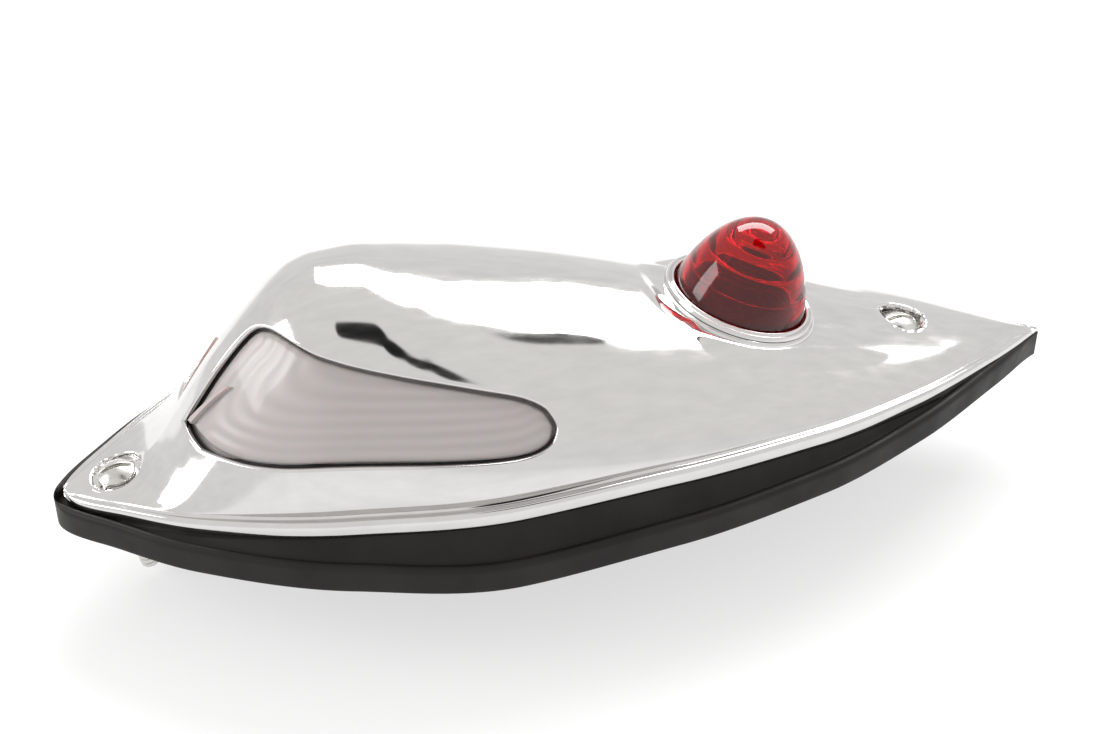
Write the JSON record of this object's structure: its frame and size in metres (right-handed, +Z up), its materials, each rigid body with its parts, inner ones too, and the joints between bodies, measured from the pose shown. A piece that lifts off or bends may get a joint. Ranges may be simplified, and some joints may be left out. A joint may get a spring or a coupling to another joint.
{
  "type": "motorcycle tail light",
  "caption": "Streamlined chrome fender lamp with a wraparound white lens, a red cone marker lens and a rubber pad shaped to sit on a fender.",
  "frame": {"origin": "crown point of the pad's underside at mid-length, where the lamp sits on the fender", "axes": "+X towards the sharp tail, +Y to the lamp's left seen from behind its nose, +Z up and away from the fender"},
  "size_m": [0.2424, 0.1036, 0.0754],
  "materials": {
    "chrome_body": "mirror-bright chrome on die-cast zinc",
    "white_lens": "translucent milky moulded lens, glossy",
    "red_lens": "transparent deep red moulded lens, glossy",
    "pad_rubber": "matt black moulded rubber",
    "black_rubber": "matt black rubber",
    "plated_steel": "zinc-plated steel",
    "screw_steel": "polished plated steel",
    "brass": "plain brass",
    "solder": "dull solder",
    "fibre": "pressed insulating fibre",
    "tungsten": "drawn tungsten",
    "bulb_glass": "clear blown glass",
    "rivet_aluminium": "plain aluminium",
    "bright_aluminium": "bright rolled aluminium"
  },
  "bodies": {
    "lamp": {"housing": "chrome_body", "main_lens": "white_lens", "lens_gasket": "black_rubber", "lens_frame": "plated_steel", "base_plate": "plated_steel", "plate_screws": "plated_steel", "mounting_pad": "pad_rubber", "wire_grommet": "black_rubber", "ground_tab": "brass", "marker_lens": "red_lens", "marker_bezel": "chrome_body", "marker_gasket": "black_rubber", "socket_shell": "brass", "socket_back": "fibre", "socket_spring": "plated_steel", "socket_bracket": "plated_steel", "bracket_rivets": "rivet_aluminium", "reflector": "bright_aluminium"},
    "carrier": {"contact_carrier": "fibre", "socket_contact": "brass"},
    "bulb": {"bulb_glass": "bulb_glass", "bulb_cap": "brass", "bulb_contact": "solder", "filament_mount": "plated_steel", "filament": "tungsten"},
    "front_keeper": {"front_washer": "fibre"},
    "front_fixing": {"front_screw": "screw_steel"},
    "rear_keeper": {"rear_washer": "fibre"},
    "rear_fixing": {"rear_screw": "screw_steel"}
  },
  "joints": [
    {"name": "bulb_push", "type": "slide", "parent": "lamp", "child": "carrier", "axis": [1, 0, 0], "range_m": [0, 0.002], "stiffness_N_per_m": 1500, "springref_m": -0.003, "deforming": ["socket_spring"]},
    {"name": "bulb_turn", "type": "hinge", "parent": "carrier", "child": "bulb", "pos_m": [-0.034, 0, 0.024], "axis": [-1, 0, 0], "range_deg": [0, 18]},
    {"name": "front_lift", "type": "slide", "parent": "lamp", "child": "front_keeper", "axis": [-0.1564, 0, 0.9877], "range_m": [0, 0.002]},
    {"name": "front_turn", "type": "hinge", "parent": "front_keeper", "child": "front_fixing", "pos_m": [-0.108, 0, -0.0012], "axis": [-0.1564, 0, 0.9877], "continuous": true},
    {"name": "rear_lift", "type": "slide", "parent": "lamp", "child": "rear_keeper", "axis": [0.1392, 0, 0.9903], "range_m": [0, 0.002]},
    {"name": "rear_turn", "type": "hinge", "parent": "rear_keeper", "child": "rear_fixing", "pos_m": [0.082, 0, 0.005], "axis": [0.1392, 0, 0.9903], "continuous": true}
  ]
}
